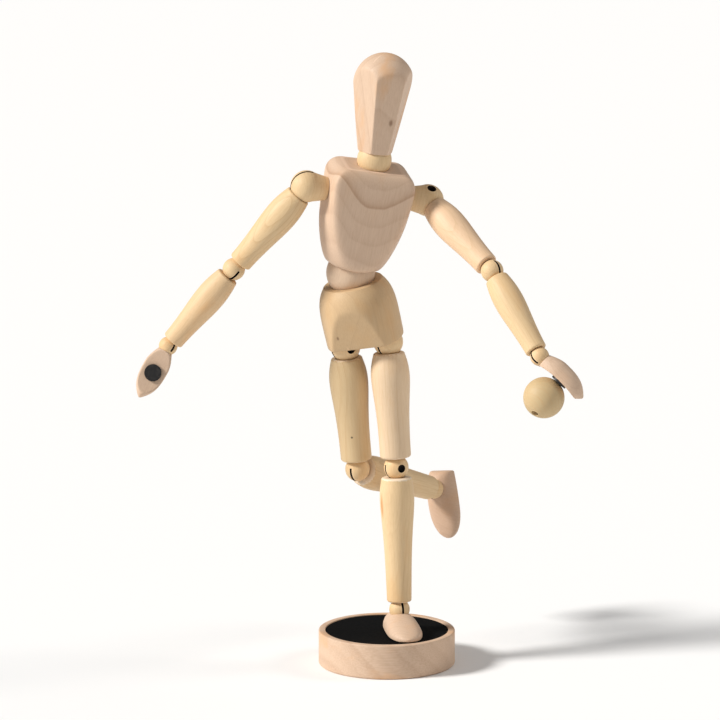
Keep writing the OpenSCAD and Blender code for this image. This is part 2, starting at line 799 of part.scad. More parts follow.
module toy_ball() {
    color(lime) translate([0, toy_y, -hand_magnet_z]) difference() {
        sphere(toy_r);
        rotate(toy_hole) cylinder(r = core_r + pin_gap, h = 3 * toy_r, center = true);
    }
}

module toy_ball_core() {
    color(steel) translate([0, toy_y, -hand_magnet_z]) rotate(toy_hole)
        cylinder(r = core_r, h = 1.5 * toy_r, center = true);
}

base_block();
base_plate();
multmatrix(left_foot_at) foot_magnet();  // left_foot_magnet
multmatrix(left_foot_at) foot(-1);  // left_foot
multmatrix(left_ankle_at) ankle_ball();  // left_ankle_ball
multmatrix(left_shin_at) shin();  // left_shin
multmatrix(left_shin_at) shin_spring();  // left_shin_spring
multmatrix(left_knee_hook_at) knee_hook();  // left_knee_hook
multmatrix(left_thigh_at) knee_ball();  // left_knee_ball
multmatrix(left_thigh_at) thigh();  // left_thigh
multmatrix(left_thigh_at) thigh_pins();  // left_thigh_pins
multmatrix(left_thigh_spring_at) thigh_spring();  // left_thigh_spring
multmatrix(left_hip_at) rotate([0, 0, 180]) hip_ball();  // left_hip_ball
multmatrix(right_foot_at) foot_magnet();  // right_foot_magnet
multmatrix(right_foot_at) foot(1);  // right_foot
multmatrix(right_ankle_at) rotate([0, 0, 180]) ankle_ball();  // right_ankle_ball
multmatrix(right_shin_at) shin();  // right_shin
multmatrix(right_shin_at) shin_spring();  // right_shin_spring
multmatrix(right_knee_hook_at) knee_hook();  // right_knee_hook
multmatrix(right_thigh_at) rotate([0, 0, 180]) knee_ball();  // right_knee_ball
multmatrix(right_thigh_at) thigh();  // right_thigh
multmatrix(right_thigh_at) thigh_pins();  // right_thigh_pins
multmatrix(right_thigh_spring_at) thigh_spring();  // right_thigh_spring
multmatrix(right_hip_at) hip_ball();  // right_hip_ball
multmatrix(pelvis_at) pelvis();
multmatrix(pelvis_at) pelvis_nails();
multmatrix(pelvis_spring_at) pelvis_spring();
multmatrix(waist_at) waist_ball();
multmatrix(chest_at) chest();
multmatrix(chest_at) chest_nails();
multmatrix(chest_at) shoulder_spring();
multmatrix(neck_spring_at) neck_spring();
multmatrix(neck_at) neck_ball();
multmatrix(head_at) head();
multmatrix(head_at) head_nail();
multmatrix(left_shoulder_at) shoulder_ball(1);  // left_shoulder_ball
multmatrix(left_arm_spring_at) upper_arm_spring();  // left_upper_arm_spring
multmatrix(left_upper_arm_at) upper_arm();  // left_upper_arm
multmatrix(left_upper_arm_at) upper_arm_pins();  // left_upper_arm_pins
multmatrix(left_upper_arm_at) elbow_ball();  // left_elbow_ball
multmatrix(left_elbow_hook_at) elbow_hook();  // left_elbow_hook
multmatrix(left_forearm_at) forearm();  // left_forearm
multmatrix(left_forearm_at) forearm_spring();  // left_forearm_spring
multmatrix(left_wrist_at) wrist_ball();  // left_wrist_ball
multmatrix(left_hand_at) hand();  // left_hand
multmatrix(left_hand_at) hand_magnet();  // left_hand_magnet
multmatrix(right_shoulder_at) shoulder_ball(-1);  // right_shoulder_ball
multmatrix(right_arm_spring_at) upper_arm_spring();  // right_upper_arm_spring
multmatrix(right_upper_arm_at) upper_arm();  // right_upper_arm
multmatrix(right_upper_arm_at) upper_arm_pins();  // right_upper_arm_pins
multmatrix(right_upper_arm_at) elbow_ball();  // right_elbow_ball
multmatrix(right_elbow_hook_at) elbow_hook();  // right_elbow_hook
multmatrix(right_forearm_at) forearm();  // right_forearm
multmatrix(right_forearm_at) forearm_spring();  // right_forearm_spring
multmatrix(right_wrist_at) wrist_ball();  // right_wrist_ball
multmatrix(right_hand_at) hand();  // right_hand
multmatrix(right_hand_at) hand_magnet();  // right_hand_magnet
multmatrix(left_hand_at) toy_ball();
multmatrix(left_hand_at) toy_ball_core();
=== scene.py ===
"""Looks of the jointed wooden figure: turned and sanded wood, its grain, and the studio."""

import json
import math

import bmesh
import bpy
import numpy as np
from mathutils import Matrix, Vector


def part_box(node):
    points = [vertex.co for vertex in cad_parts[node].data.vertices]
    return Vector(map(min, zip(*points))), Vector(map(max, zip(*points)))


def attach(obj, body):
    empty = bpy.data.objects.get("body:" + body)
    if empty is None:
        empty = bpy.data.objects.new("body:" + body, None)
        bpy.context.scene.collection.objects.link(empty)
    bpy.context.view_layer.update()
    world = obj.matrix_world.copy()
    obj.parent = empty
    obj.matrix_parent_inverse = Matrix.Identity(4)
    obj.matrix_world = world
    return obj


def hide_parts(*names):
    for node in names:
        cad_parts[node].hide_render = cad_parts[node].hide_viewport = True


MM = 0.001


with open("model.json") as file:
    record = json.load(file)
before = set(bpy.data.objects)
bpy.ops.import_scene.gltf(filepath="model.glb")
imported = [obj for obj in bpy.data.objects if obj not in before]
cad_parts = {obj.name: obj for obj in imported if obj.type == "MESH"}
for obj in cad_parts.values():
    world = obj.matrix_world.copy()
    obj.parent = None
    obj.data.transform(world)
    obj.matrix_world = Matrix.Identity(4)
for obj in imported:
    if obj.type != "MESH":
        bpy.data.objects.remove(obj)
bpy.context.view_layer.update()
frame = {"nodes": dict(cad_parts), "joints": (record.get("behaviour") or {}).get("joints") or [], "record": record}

NODES = frame["nodes"]
JOINTS = {j["name"]: j for j in frame["joints"]}
MOUNTS = {m["name"]: m for m in frame["record"]["mounts"]}


# ---- Local frames, worked out from the joints ----
def joint_place(name):
    """Where a joint is."""
    return Vector(JOINTS[name]["pos_m"])


def joint_axis(name):
    """Direction of a joint's axis."""
    return Vector(JOINTS[name]["axis"]).normalized()


def node_middle(name):
    """Middle of a CAD node's box."""
    low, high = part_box(name)
    return (low + high) / 2


def frame_from(origin, up, side):
    """A frame at origin with +Z along up and +X as near to side as it can be."""
    z = up.normalized()
    x = (side - z * side.dot(z)).normalized()
    y = z.cross(x)
    matrix = Matrix((x, y, z)).transposed().to_4x4()
    matrix.translation = origin
    return matrix


def disc_normal(name, towards):
    """Normal of a flat round CAD node, on the side of a point."""
    points = np.array([v.co for v in NODES[name].data.vertices])
    centre = points.mean(0)
    normal = Vector(np.linalg.svd(points - centre, full_matrices=False)[2][2])
    if normal.dot(towards - Vector(centre)) < 0:
        normal.negate()
    return normal


def limb_frame(low_joint, high_joint):
    """Frame of a limb piece: lower joint at the origin, +X along its hinge, +Z to the upper one."""
    low = joint_place(low_joint)
    return frame_from(low, joint_place(high_joint) - low, joint_axis(low_joint))


# The lower and the upper joint of each limb piece
LIMB_JOINTS = {
    "shin": ("ankle_bend", "knee_bend"),
    "thigh": ("knee_bend", "hip_swing"),
    "upper_arm": ("elbow_bend", "arm_raise"),
    "forearm": ("wrist_bend", "elbow_bend"),
}
FRAMES = {
    side + part: limb_frame(side + low, side + high)
    for side in ("left_", "right_")
    for part, (low, high) in LIMB_JOINTS.items()
}

hips = (joint_place("left_hip_swing"), joint_place("right_hip_swing"))
shoulders = (joint_place("left_arm_raise"), joint_place("right_arm_raise"))
hip_middle = (hips[0] + hips[1]) / 2
waist_place = joint_place("waist_bend")
neck_place = joint_place("neck_bend")
FRAMES["pelvis"] = frame_from(hip_middle, waist_place - hip_middle, hips[0] - hips[1])
FRAMES["chest"] = frame_from(waist_place, neck_place - waist_place, shoulders[0] - shoulders[1])

head_up = joint_axis("head_turn")
if head_up.z < 0:
    head_up.negate()
# The head's nail is off the axis by this much, so it tells which way the face is turned
NAIL_X, NAIL_Y = 2.25, 3.95
nail_side = node_middle("head_nail") - neck_place
head_spin = Matrix.Rotation(-math.atan2(NAIL_Y, NAIL_X), 4, "Z")
FRAMES["head"] = frame_from(neck_place, head_up, nail_side) @ head_spin

ANKLE_HEIGHT = 11.6
PALMS = {
    "left": joint_axis("toy_ball_release"),
    "right": Vector(MOUNTS["right_palm_magnet"]["axis"]),
}
for side, palm in PALMS.items():
    wrist = joint_place(side + "_wrist_bend")
    along = wrist - node_middle(side + "_hand_magnet")
    along -= palm * along.dot(palm)
    FRAMES[side + "_hand"] = frame_from(wrist, along, along.cross(palm))
    ankle = joint_place(side + "_ankle_bend")
    up = disc_normal(side + "_foot_magnet", ankle)
    heelwards = ankle - node_middle(side + "_foot_magnet")
    heelwards -= up * heelwards.dot(up)
    sole = ankle - up * ANKLE_HEIGHT * MM
    FRAMES[side + "_foot"] = frame_from(sole, up, heelwards.cross(up))
FRAMES["base_block"] = Matrix.Identity(4)


# ---- Mesh code ----
# A direction flatter than LEVEL never meets a plane; a cut further off than CUT_REACH is no cut
LEVEL = 1e-3
FAR_AWAY = 1e3
CUT_REACH = 200
LEAST_RADIUS = 0.3

# Wooden pieces in the order they are made, each with its name
PIECES = []


def soft_least(a, b, width):
    """Smaller of two distances, blended over a width so that the edge between them is rounded."""
    h = np.clip(0.5 + 0.5 * (b - a) / width, 0, 1)
    return b + (a - b) * h - width * h * (1 - h)


def directions(around):
    """Angles of the points of one ring."""
    return np.arange(around) * 2 * math.pi / around


def ring_faces(rings, around, closed=False):
    """Quads between neighbouring rings, and a fan at each end unless closed joins the two ends."""
    faces = []
    for i in range(rings if closed else rings - 1):
        low, high = i * around, (i + 1) % rings * around
        for j in range(around):
            k = (j + 1) % around
            faces.append((low + j, low + k, high + k, high + j))
    if not closed:
        faces.append(tuple(reversed(range(around))))
        faces.append(tuple((rings - 1) * around + j for j in range(around)))
    return faces


def placed(points, matrix):
    """Millimetres in a local frame to metres in the shared frame."""
    m = np.array(matrix)
    return np.asarray(points).reshape(-1, 3) * MM @ m[:3, :3].T + m[:3, 3]


def add_wood(name, points, faces, body):
    """Adds a wooden piece, given in millimetres in its own frame, in place of its CAD node."""
    mesh = bpy.data.meshes.new("wood_" + name)
    mesh.from_pydata([tuple(p) for p in placed(points, FRAMES[name])], [], faces)
    mesh.validate()
    mesh.update()
    for polygon in mesh.polygons:
        polygon.use_smooth = True
    piece = bpy.data.objects.new("wood_" + name, mesh)
    bpy.context.scene.collection.objects.link(piece)
    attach(piece, body)
    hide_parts(name)
    bm = bmesh.new()
    bm.from_mesh(mesh)
    bmesh.ops.recalc_face_normals(bm, faces=bm.faces)
    bm.to_mesh(mesh)
    bm.free()
    PIECES.append((piece, name))


def arc(cx, cz, r, start, end, steps):
    """Points of a circular arc, with angles in degrees from the +radius direction."""
    out = []
    for i in range(steps + 1):
        a = math.radians(start + (end - start) * i / steps)
        out.append((cx + r * math.cos(a), cz + r * math.sin(a)))
    return out


def dish(centre, r, wall_r, rim_z, steps=8):
    """Profile of a ball socket centred on the axis, from the bore's wall out to the rim."""
    side = 1 if rim_z > centre else -1
    rim = math.asin(min(1, abs(rim_z - centre) / r))
    deep = math.acos(wall_r / r)
    out = []
    for i in range(steps + 1):
        a = deep + (rim - deep) * i / steps
        out.append((r * math.cos(a), centre + side * r * math.sin(a)))
    return out


def spread(start, stop, height, steps, rim=None):
    """Flat ring of points between two radii; its outer side follows the cut outline of a rim."""
    inner, outer = min(start, stop), max(start, stop)
    radii = [start + (stop - start) * i / steps for i in range(steps + 1)]
    return [(radius, height, inner, outer, rim or outer) for radius in radii]


def rounding(points, rim):
    """Points of a rounded edge that follows the cut outline of a rim."""
    return [(r, z, 0, rim, rim) for r, z in points]


def plane_distance(toward, room):
    """Distance to a plane along each direction, or FAR_AWAY where the direction doesn't meet it."""
    return np.where(toward > LEVEL, room / np.maximum(toward, LEVEL), FAR_AWAY)


def flat_cut(normal, distance, softness):
    """Cut by the plane normal . p = distance, with a sanded edge."""
    nx, ny, nz = normal

    def cut(angles, height, r):
        toward = nx * np.cos(angles) + ny * np.sin(angles)
        far = plane_distance(toward, distance - nz * height)
        shortened = np.maximum(soft_least(r, far, softness), LEAST_RADIUS)
        return np.where(far < CUT_REACH, shortened, r)

    return cut


def make(name, profile, cuts=(), body=None, closed=False, shape=None, around=192):
    """Adds a turned piece with flat cuts and, through shape, a last change of its points.

    A profile point is a radius and a height. Points of spread and rounding also have the inner and
    outer radius of their ring and its rim's radius, and follow the outline the cuts give that rim.
    """
    angles = directions(around)
    rings = []
    for radius, height, *ring in profile:
        r = np.full(around, float(ring[2] if ring else radius))
        for cut in cuts:
            r = cut(angles, height, r)
        if ring:
            inner, outer, rim = ring
            r = inner + (radius - inner) / (outer - inner) * (r * outer / rim - inner)
        level = np.full(around, height)
        rings.append(np.stack([r * np.cos(angles), r * np.sin(angles), level], 1))
    points = np.array(rings)
    if shape:
        points = shape(points)
    add_wood(name, points, ring_faces(len(profile), around, closed), body or name)


# ---- Wood pieces, in mm ----
HIP_R, KNEE_R, ANKLE_R, WAIST_R, NECK_R = 7.5, 6.2, 5.2, 12.2, 8.6
SHOULDER_R, ELBOW_R, WRIST_R = 8.0, 5.6, 4.7
CUP_GAP, TIGHT_GAP = 0.25, 0.05
# Radius at which a closed end stops short of the axis
AXIS = 0.02
SPRING_BORE, ARM_BORE = 3.2, 3.0
PEG_HOLE, ARM_PEG_HOLE = 2.48, 2.18


# Arms and legs
def limb(low, high, low_r, high_r, swell, skew, edge, low_socket, high_socket, bores):
    """Profile of an arm or leg piece: a ball socket at each end and a stepped bore through it."""
    steps, edge_steps = 48, 6
    low_bore, step_z, high_bore = bores
    length, high_cup = high_socket
    profile = dish(0, low_socket, low_bore, low)
    profile += arc(low_r - edge, low + edge, edge, -90, 0, edge_steps)
    for i in range(1, steps):
        t = i / steps
        r = low_r + (high_r - low_r) * t + swell * math.sin(math.pi * t**skew)
        profile.append((r, low + edge + t * (high - low - 2 * edge)))
    profile += arc(high_r - edge, high - edge, edge, 0, 90, edge_steps)
    profile += reversed(dish(length, high_cup, high_bore, high))
    if high_bore > low_bore:
        profile += [(high_bore, step_z), (low_bore, step_z)]
    return profile


# Heights are above the lower joint; a high socket has the joint's height and its radius
LIMBS = {
    "shin": dict(
        low=4, high=67.4, low_r=6.2, high_r=7.7, swell=1.25, skew=3.5, edge=1.1,
        low_socket=ANKLE_R + CUP_GAP, high_socket=(72.5, KNEE_R + CUP_GAP),
        bores=(SPRING_BORE, 0, SPRING_BORE),
    ),
    "thigh": dict(
        low=5.1, high=58.6, low_r=7.8, high_r=8, swell=1.8, skew=2.8, edge=1.2,
        low_socket=KNEE_R + TIGHT_GAP, high_socket=(64, HIP_R + CUP_GAP),
        bores=(PEG_HOLE, 15, SPRING_BORE),
    ),
    "upper_arm": dict(
        low=4.6, high=50, low_r=5.9, high_r=6.5, swell=1.7, skew=1.94, edge=0.9,
        low_socket=ELBOW_R + TIGHT_GAP, high_socket=(56, SHOULDER_R + CUP_GAP),
        bores=(ARM_PEG_HOLE, 13, ARM_BORE),
    ),
    "forearm": dict(
        low=3.5, high=46.9, low_r=5.4, high_r=5.9, swell=1.6, skew=1.8, edge=0.9,
        low_socket=WRIST_R + CUP_GAP, high_socket=(51.5, ELBOW_R + CUP_GAP),
        bores=(ARM_BORE, 0, ARM_BORE),
    ),
}
for side in ("left", "right"):
    for part, measures in LIMBS.items():
        make(side + "_" + part, limb(**measures), closed=True)


# Pelvis
HIP_X = 11.3
PELVIS_LOW = 2.2
PELVIS_LEAN = math.tan(math.radians(14.5))
PELVIS_FLAT = 13.5 - PELVIS_LOW * PELVIS_LEAN
PELVIS_EDGE = 0.5


def hip_sockets(points):
    """Raises the underside over each hip ball."""
    out = points.copy()
    reach = HIP_R + CUP_GAP
    under = out[:, :, 2] < PELVIS_LOW + 0.1
    for x in (-HIP_X, HIP_X):
        d2 = (out[:, :, 0] - x) ** 2 + out[:, :, 1] ** 2
        lift = np.sqrt(np.maximum(reach**2 - d2, 0))
        out[:, :, 2] = np.where(under, np.maximum(out[:, :, 2], lift), out[:, :, 2])
    return out


def pelvis_profile():
    """Drum that draws in towards the waist ball's socket."""
    low, high, steps = PELVIS_LOW, 33.5, 24
    flat_r, rim, widest = 18.8, 19.4, 19.8
    edge, top_edge, top_r = 0.6, 0.7, 14.6
    flare, draw_in = 0.3, 4.2
    socket_z, mouth, bore_floor = 38.5, 11.45, 12.05
    out = spread(AXIS, flat_r, low, 44, rim)
    out += rounding(arc(flat_r, low + edge, edge, -60, 0, 3), rim)
    for i in range(steps + 1):
        t = i / steps
        radius = widest - flare * (1 - t) ** 2 - draw_in * t**5
        out.append((radius, low + 2 + t * (high - low - 3)))
    out += arc(top_r, high - top_edge, top_edge, 20, 90, 3)
    out += spread(14.4, mouth, high, 3)
    out += reversed(dish(socket_z, WAIST_R + CUP_GAP, SPRING_BORE, high))
    return out + [(SPRING_BORE, bore_floor), (AXIS, bore_floor)]


make(
    "pelvis",
    pelvis_profile(),
    [flat_cut((0, y, -PELVIS_LEAN), PELVIS_FLAT, PELVIS_EDGE) for y in (-1, 1)],
    shape=hip_sockets,
    around=256,
)


# Chest
CHEST_LEAN = math.tan(math.radians(2.9))
CHEST_FRONT, CHEST_BACK, CHEST_SIDE = 15.3 + 11 * CHEST_LEAN, 14, 21.2


def chest_profile():
    """Drum that widens from the waist ball's socket up to rounded shoulders."""
    low, top, rim, round_r = 5, 57, 24, 8
    waist_bore, waist_floor, neck_floor = 3.12, 24.3, 45.85
    lip_r, lip = 12.5, 0.7
    waist_r, widening, fullness = 13.2, 10.8, 0.62
    neck_z, mouth = 60.5, 8.13
    out = [(AXIS, waist_floor), (waist_bore, waist_floor)]
    out += dish(0, WAIST_R + CUP_GAP, waist_bore, low)
    out += arc(lip_r, low + lip, lip, -90, -10, 4)
    for i in range(1, 46):
        t = i / 49
        swell = math.sin(math.pi / 2 * t) ** fullness
        out.append((waist_r + widening * swell, low + t * (top - 4 - low)))
    out += rounding(arc(rim - round_r, top - round_r, round_r, 6, 90, 12), rim)
    out += spread(rim - round_r, mouth, top, 12, rim)
    out += reversed(dish(neck_z, NECK_R + CUP_GAP, SPRING_BORE, top))
    return out + [(SPRING_BORE, neck_floor), (AXIS, neck_floor)]


make(
    "chest",
    chest_profile(),
    [
        flat_cut((0, -1, CHEST_LEAN), CHEST_FRONT, 2.4),
        flat_cut((0, 1, 0), CHEST_BACK, 1.5),
        flat_cut((1, 0, 0), CHEST_SIDE, 1.6),
        flat_cut((-1, 0, 0), CHEST_SIDE, 1.6),
    ],
    around=320,
)


# Head
HEAD_LOW = 4
HEAD_LEAN = math.tan(math.radians(7.2))
HEAD_EDGE = 0.5


def head_profile():
    """Egg that widens up from the neck ball's socket and closes in a quarter of an ellipse."""
    wide, top = 38, 54
    nail_bore, bore_top = 2.52, 18.3
    lip_r, lip = 8.3, 0.6
    chin_r, widening, fullness, crown_r = 8.9, 6.3, 0.92, 15.2
    side_low, side_steps, crown_steps = HEAD_LOW + 0.8, 32, 20
    out = [(AXIS, bore_top), (nail_bore, bore_top)]
    out += dish(0, NECK_R + CUP_GAP, nail_bore, HEAD_LOW)
    out += arc(lip_r, HEAD_LOW + lip, lip, -80, 0, 3)
    for i in range(1, side_steps + 1):
        t = i / side_steps
        out.append((chin_r + widening * t**fullness, side_low + t * (wide - side_low)))
    for i in range(1, crown_steps):
        a = math.radians(90 * i / crown_steps)
        out.append((crown_r * math.cos(a), wide + (top - wide) * math.sin(a)))
    return out + [(AXIS, top)]


def head_flat(around, distance):
    """Flat of the face, turned by an angle from straight ahead."""
    a = math.radians(around)
    normal = (math.sin(a), -math.cos(a), -HEAD_LEAN)
    return flat_cut(normal, distance - HEAD_LOW * HEAD_LEAN, HEAD_EDGE)


make(
    "head",
    head_profile(),
    [head_flat(0, 8), head_flat(62, 7.6), head_flat(-62, 7.6)],
    around=320,
)


# Hands
def make_hand(name):
    """Leaf-shaped hand: a small turned spindle hollowed on the palm side by a wide curve."""
    around, steps = 128, 56
    root_z, length = -3.2, 25.8
    root_r, widening, narrowing = 3.9, 2.6, 5.59
    wide_from, narrow_from, bluntness = 0.35, 0.3, 3.5
    hollow_r, hollow_y, hollow_z, palm_edge = 45, -46.6, -15.5, 0.45
    # Radius and height of the rings: the end over the wrist ball, the blade, the closed tip
    stations = [(1.68, -4.44), (2.6, -3.97), (3.4, -3.3), (3.75, -3.05)]
    for i in range(steps + 1):
        t = i / steps
        swell = widening * math.sin(math.pi / 2 * min(1, t / wide_from))
        taper = narrowing * (max(0, t - narrow_from) / (1 - narrow_from)) ** bluntness
        stations.append((root_r + swell - taper, root_z - length * t))
    stations += [(0.6, -29.3), (0.2, -29.45)]
    angles = directions(around)
    cos, sin = np.cos(angles), np.sin(angles)
    rings = []
    for radius, z in stations:
        # Each ring is seen from a point behind its axis, so that the palm stays in front of it
        behind = min(2.5, 0.5 * radius)
        r = -behind * sin + np.sqrt(np.maximum(radius**2 - (behind * cos) ** 2, 0))
        if z < root_z:
            palm_y = hollow_y + math.sqrt(hollow_r**2 - (z - hollow_z) ** 2)
            far = plane_distance(-sin, behind - palm_y)
            r = np.where(far < CUT_REACH, soft_least(r, far, palm_edge), r)
        rings.append(np.stack([r * cos, behind + r * sin, np.full(around, z)], 1))
    add_wood(name, np.array(rings), ring_faces(len(stations), around), name)


for side in ("left", "right"):
    make_hand(side + "_hand")


# Feet: distances ahead of the ankle, and the height of the instep's line at some of them
HEEL, BALL, TOE = -8.6, 12, 26.4
HEEL_HALF, BALL_HALF = 6.5, 8.6
INSTEP = [
    (-8.6, 7.4), (-7, 9.2), (-5, 10.3), (0, 10.6), (5, 10.3),
    (9, 9.1), (14, 7.4), (20, 5.6), (24, 4), (26.4, 2.4),
]


def foot_section(ahead, inner):
    """Half width, middle, height and underside of the foot at a distance ahead of the ankle."""
    if ahead < BALL:
        swell = math.sin(math.pi / 2 * (ahead - HEEL) / (BALL - HEEL))
        half = HEEL_HALF + (BALL_HALF - HEEL_HALF) * swell
    else:
        half = BALL_HALF * math.sqrt(max(1 - ((ahead - BALL) / (TOE - BALL)) ** 2, 0))
    middle = inner * 1.3 * (max(0, ahead) / TOE) ** 2
    height = float(np.interp(ahead, [p[0] for p in INSTEP], [p[1] for p in INSTEP]))
    under = 0.2 + 0.9 * max(0, (ahead - TOE + 3) / 3)
    return half, middle, height, under


def make_foot(name, inner):
    """Domed shoe with a squared heel; inner is the side, -1 or 1, that its toe leans to."""
    around, steps, edge, tip = 96, 40, 0.9, 24.4
    stations = [HEEL + edge * (1 - math.cos(math.radians(a))) for a in (0, 15, 30, 50, 70, 90)]
    stations += [HEEL + edge + (tip - HEEL - edge) * i / steps for i in range(1, steps + 1)]
    stations += [tip + 1.95 * math.sin(math.radians(a)) for a in (20, 40, 55, 70, 80, 90)]
    angles = directions(around)
    cos, sin = np.cos(angles), np.sin(angles)
    rings = []
    for ahead in stations:
        half, middle, height, under = foot_section(ahead, inner)
        shrink = edge - math.sqrt(max(edge**2 - max(0, HEEL + edge - ahead) ** 2, 0))
        half, height, under = half - shrink, height - shrink, under + shrink
        widest = under + min(1.6, 0.45 * (height - under))
        x = middle + half * np.sign(cos) * np.abs(cos) ** 0.86
        top = widest + (height - widest) * np.abs(sin) ** 0.92
        bottom = widest - (widest - under) * np.abs(sin) ** 0.35
        rings.append(np.stack([x, np.full(around, -ahead), np.where(sin >= 0, top, bottom)], 1))
    add_wood(name, np.array(rings), ring_faces(len(stations), around), name)


make_foot("left_foot", -1)
make_foot("right_foot", 1)


# Base
def base_profile():
    """Low drum with rounded edges and a shallow recess for the black plate."""
    radius, high, recess_r, recess_floor = 34.4, 17.5, 31, 15.5
    foot_edge, rim_edge, inner_edge = 1.2, 0.7, 0.3
    wall, wall_steps = 15.4, 12
    out = [(AXIS, 0)] + spread(2, radius - foot_edge, 0, 6)
    out += arc(radius - foot_edge, foot_edge, foot_edge, -90, 0, 6)
    out += [(radius, foot_edge + wall * i / wall_steps) for i in range(1, wall_steps + 1)]
    out += arc(radius - rim_edge, high - rim_edge, rim_edge, 10, 90, 6)
    out += arc(recess_r + inner_edge, high - inner_edge, inner_edge, 90, 180, 3)
    return out + [(recess_r, recess_floor + 0.5), (recess_r, recess_floor), (AXIS, recess_floor)]


make("base_block", base_profile(), body="base", around=256)


# ---- Materials ----
IN_MM = (1000, 1000, 1000)
# Waves per mm in the wood, across the grain and along it
FIBRE_SCALE = (2.0, 2.0, 0.07)
FLECK_SCALE = (3.0, 3.0, 0.5)
CLOUD_SCALE = (0.08, 0.08, 0.035)
KNOT_FLATTEN = 0.55
WOOD_ROUGHNESS = (0.48, 0.64)
WOOD_SPECULAR = 0.35
WOOD_BUMP, METAL_BUMP = 0.0001, 0.00005
PATCH_SCALE = 0.6


class Nodes:
    """Small helper that adds a material's shader nodes and links them; each step gives a socket."""

    def __init__(self, name):
        self.material = bpy.data.materials.new(name)
        self.material.use_nodes = True
        self.tree = self.material.node_tree
        self.shader = self.tree.nodes["Principled BSDF"]

    def add(self, kind, inputs=None, **settings):
        node = self.tree.nodes.new(kind)
        for key, value in settings.items():
            setattr(node, key, value)
        for key, value in (inputs or {}).items():
            self.put(node.inputs[key], value)
        return node

    def put(self, socket, value):
        if isinstance(value, bpy.types.NodeSocket):
            self.tree.links.new(value, socket)
        else:
            socket.default_value = value

    def math(self, operation, a, b=0.0, c=0.0, clamp=False):
        node = self.add("ShaderNodeMath", {0: a, 1: b, 2: c}, operation=operation, use_clamp=clamp)
        return node.outputs[0]

    def noise(self, vector, scale, detail=2.0, roughness=0.5):
        node = self.add(
            "ShaderNodeTexNoise",
            {"Vector": vector, "Scale": scale, "Detail": detail, "Roughness": roughness},
        )
        return node.outputs["Fac"]

    def band(self, value, low, high, out_low=0.0, out_high=1.0):
        """Soft step of a value from out_low at low to out_high at high."""
        limits = {"From Min": low, "From Max": high, "To Min": out_low, "To Max": out_high}
        node = self.add(
            "ShaderNodeMapRange", {"Value": value, **limits}, interpolation_type="SMOOTHSTEP"
        )
        return node.outputs["Result"]

    def mix(self, factor, a, b):
        node = self.add("ShaderNodeMix", data_type="RGBA")
        self.put(node.inputs["Factor"], factor)
        self.put(node.inputs["A"], a)
        self.put(node.inputs["B"], b)
        return node.outputs["Result"]

    def scaled(self, vector, scale):
        node = self.add("ShaderNodeVectorMath", {0: vector, 1: scale}, operation="MULTIPLY")
        return node.outputs[0]

    def moved(self, vector, offset):
        node = self.add("ShaderNodeVectorMath", {0: vector, 1: offset}, operation="ADD")
        return node.outputs[0]

    def spot(self, vector, centre, size, flatten, core, strength):
        """Strength of a round spot about a centre, long along Z, that fades from its core out."""
        near = self.scaled(self.moved(vector, -centre), (1, 1, flatten))
        reach = self.add("ShaderNodeVectorMath", {0: near}, operation="LENGTH").outputs["Value"]
        return self.band(reach, size, core * size, 0.0, strength)


